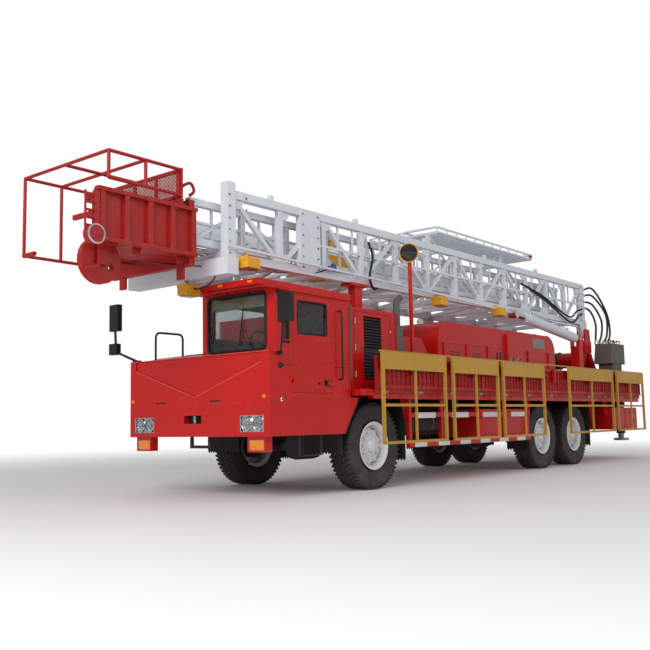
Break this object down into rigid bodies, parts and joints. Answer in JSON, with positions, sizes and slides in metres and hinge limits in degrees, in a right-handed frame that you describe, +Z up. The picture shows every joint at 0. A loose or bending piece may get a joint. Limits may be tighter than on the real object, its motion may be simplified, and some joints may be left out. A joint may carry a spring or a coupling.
{
  "type": "workover rig",
  "caption": "Truck-mounted oil well workover rig with a half cab, a folded lattice mast on raising cylinders, fold-down walkways and levelling jacks.",
  "frame": {"origin": "on the ground, at the middle of the vehicle's box", "axes": "+X to the vehicle's left, +Y to its rear, +Z up; the cab and the crown face -Y"},
  "size_m": [3.24, 13.97, 4],
  "materials": {
    "red": "glossy bright red enamel",
    "dark_red": "matt dark red paint",
    "white": "satin white paint",
    "yellow": "satin ochre yellow paint",
    "black": "satin black paint",
    "rubber": "matt black rubber",
    "steel": "bare steel",
    "chrome": "polished",
    "glass": "tinted window glass",
    "grey": "matt grey-brown paint",
    "cast": "painted casting",
    "seat": "woven grey seat cover"
  },
  "bodies": {
    "carrier": {"chassis_frame": "black", "bumper": "red", "headlamp_left": "chrome", "headlamp_right": "chrome", "nose_panel": "red", "hood": "red", "cab_shell": "red", "windscreen": "glass", "driver_seat": "seat", "dashboard": "black", "mirror_left": "black", "mirror_right": "black", "deck": "red", "deck_lamp": "red", "engine_housing": "red", "engine_block": "cast", "drawworks_housing": "red", "control_console": "grey", "rear_lockers": "red", "side_lockers": "red", "mast_base": "red", "mast_rest": "red", "front_axle": "black", "rear_1_axle": "black", "rear_2_axle": "black"},
    "cab_door": {"cab_door_left": "red", "door_glass": "glass"},
    "mast_lower_body": {"mast_lower": "white"},
    "mast_upper_body": {"mast_upper": "white", "crown_frame": "red", "crown_guard": "red"},
    "crown_sheaves_body": {"crown_sheaves": "dark_red"},
    "racking_board_body": {"racking_board": "white"},
    "steering_left": {"steering_knuckle_left": "black"},
    "front_wheel_left": {"front_rim_left": "white", "front_tyre_left": "rubber"},
    "rear_1_wheel_left": {"rear_1_rim_left": "white", "rear_1_tyre_left": "rubber"},
    "rear_2_wheel_left": {"rear_2_rim_left": "white", "rear_2_tyre_left": "rubber"},
    "jack_left": {"jack_leg_left": "steel"},
    "steering_right": {"steering_knuckle_right": "black"},
    "front_wheel_right": {"front_rim_right": "white", "front_tyre_right": "rubber"},
    "rear_1_wheel_right": {"rear_1_rim_right": "white", "rear_1_tyre_right": "rubber"},
    "rear_2_wheel_right": {"rear_2_rim_right": "white", "rear_2_tyre_right": "rubber"},
    "jack_right": {"jack_leg_right": "steel"},
    "cylinder_left_body": {"raising_cylinder_left": "white"},
    "piston_left_body": {"piston_rod_left": "chrome"},
    "cylinder_right_body": {"raising_cylinder_right": "white"},
    "piston_right_body": {"piston_rod_right": "chrome"},
    "walkway_left_body": {"walkway_left": "red"},
    "handrail_left_body": {"handrail_left": "yellow"},
    "walkway_right_body": {"walkway_right": "red"},
    "handrail_right_body": {"handrail_right": "yellow"}
  },
  "joints": [
    {"name": "steer_left", "type": "hinge", "parent": "carrier", "child": "steering_left", "pos_m": [0.98, -2.795, 0.56711], "axis": [0, 0, 1], "range_deg": [-27, 27]},
    {"name": "roll_front_left", "type": "hinge", "parent": "steering_left", "child": "front_wheel_left", "pos_m": [1.06, -2.795, 0.56711], "axis": [1, 0, 0], "continuous": true},
    {"name": "roll_rear_1_left", "type": "hinge", "parent": "carrier", "child": "rear_1_wheel_left", "pos_m": [1.06, 2.255, 0.56711], "axis": [1, 0, 0], "continuous": true},
    {"name": "roll_rear_2_left", "type": "hinge", "parent": "carrier", "child": "rear_2_wheel_left", "pos_m": [1.06, 3.615, 0.56711], "axis": [1, 0, 0], "continuous": true},
    {"name": "lower_jack_left", "type": "slide", "parent": "carrier", "child": "jack_left", "axis": [0, 0, -1], "range_m": [0, 0.28]},
    {"name": "steer_right", "type": "hinge", "parent": "carrier", "child": "steering_right", "pos_m": [-0.98, -2.795, 0.56711], "axis": [0, 0, 1], "range_deg": [-27, 27]},
    {"name": "roll_front_right", "type": "hinge", "parent": "steering_right", "child": "front_wheel_right", "pos_m": [-1.06, -2.795, 0.56711], "axis": [1, 0, 0], "continuous": true},
    {"name": "roll_rear_1_right", "type": "hinge", "parent": "carrier", "child": "rear_1_wheel_right", "pos_m": [-1.06, 2.255, 0.56711], "axis": [1, 0, 0], "continuous": true},
    {"name": "roll_rear_2_right", "type": "hinge", "parent": "carrier", "child": "rear_2_wheel_right", "pos_m": [-1.06, 3.615, 0.56711], "axis": [1, 0, 0], "continuous": true},
    {"name": "lower_jack_right", "type": "slide", "parent": "carrier", "child": "jack_right", "axis": [0, 0, -1], "range_m": [0, 0.28]},
    {"name": "open_cab_door", "type": "hinge", "parent": "carrier", "child": "cab_door", "pos_m": [1.27, -4.42, 1.8], "axis": [0, 0, -1], "range_deg": [0, 65]},
    {"name": "raise_mast", "type": "hinge", "parent": "carrier", "child": "mast_lower_body", "pos_m": [0, 5.305, 2.62], "axis": [-1, 0, 0], "range_deg": [0, 90]},
    {"name": "extend_mast", "type": "slide", "parent": "mast_lower_body", "child": "mast_upper_body", "axis": [0, -1, 0], "range_m": [0, 8]},
    {"name": "turn_crown_sheaves", "type": "hinge", "parent": "mast_upper_body", "child": "crown_sheaves_body", "pos_m": [0, -5.845, 3.09], "axis": [1, 0, 0], "continuous": true},
    {"name": "unfold_racking_board", "type": "hinge", "parent": "mast_upper_body", "child": "racking_board_body", "pos_m": [0, -0.349, 3.88], "axis": [1, 0, 0], "range_deg": [0, 90]},
    {"name": "swing_cylinder_left", "type": "hinge", "parent": "carrier", "child": "cylinder_left_body", "pos_m": [0.98, 4.505, 2.45], "axis": [-1, 0, 0], "range_deg": [0, 98.02]},
    {"name": "stroke_piston_left", "type": "slide", "parent": "cylinder_left_body", "child": "piston_left_body", "axis": [0, -0.9941, 0.1088], "range_m": [0, 1.0698]},
    {"name": "swing_cylinder_right", "type": "hinge", "parent": "carrier", "child": "cylinder_right_body", "pos_m": [-0.98, 4.505, 2.45], "axis": [-1, 0, 0], "range_deg": [0, 98.02]},
    {"name": "stroke_piston_right", "type": "slide", "parent": "cylinder_right_body", "child": "piston_right_body", "axis": [0, -0.9941, 0.1088], "range_m": [0, 1.0698]},
    {"name": "lower_walkway_left", "type": "hinge", "parent": "carrier", "child": "walkway_left_body", "pos_m": [1.4, 1.84, 1.27], "axis": [0, 1, 0], "range_deg": [0, 90]},
    {"name": "unfold_handrail_left", "type": "hinge", "parent": "walkway_left_body", "child": "handrail_left_body", "pos_m": [1.473, 1.84, 1.8], "axis": [0, -1, 0], "range_deg": [0, 270]},
    {"name": "lower_walkway_right", "type": "hinge", "parent": "carrier", "child": "walkway_right_body", "pos_m": [-1.4, 1.84, 1.27], "axis": [0, -1, 0], "range_deg": [0, 90]},
    {"name": "unfold_handrail_right", "type": "hinge", "parent": "walkway_right_body", "child": "handrail_right_body", "pos_m": [-1.473, 1.84, 1.8], "axis": [0, 1, 0], "range_deg": [0, 270]}
  ],
  "couplings": [
    {"joint": "steer_right", "follows": "steer_left", "ratio": 1},
    {"joint": "swing_cylinder_left", "follows": "raise_mast", "ratio": 1.089},
    {"joint": "stroke_piston_left", "follows": "raise_mast", "m_per_rad": 0.68071},
    {"joint": "swing_cylinder_right", "follows": "raise_mast", "ratio": 1.089},
    {"joint": "stroke_piston_right", "follows": "raise_mast", "m_per_rad": 0.68071},
    {"joint": "unfold_handrail_left", "follows": "lower_walkway_left", "ratio": 3},
    {"joint": "unfold_handrail_right", "follows": "lower_walkway_right", "ratio": 3}
  ]
}
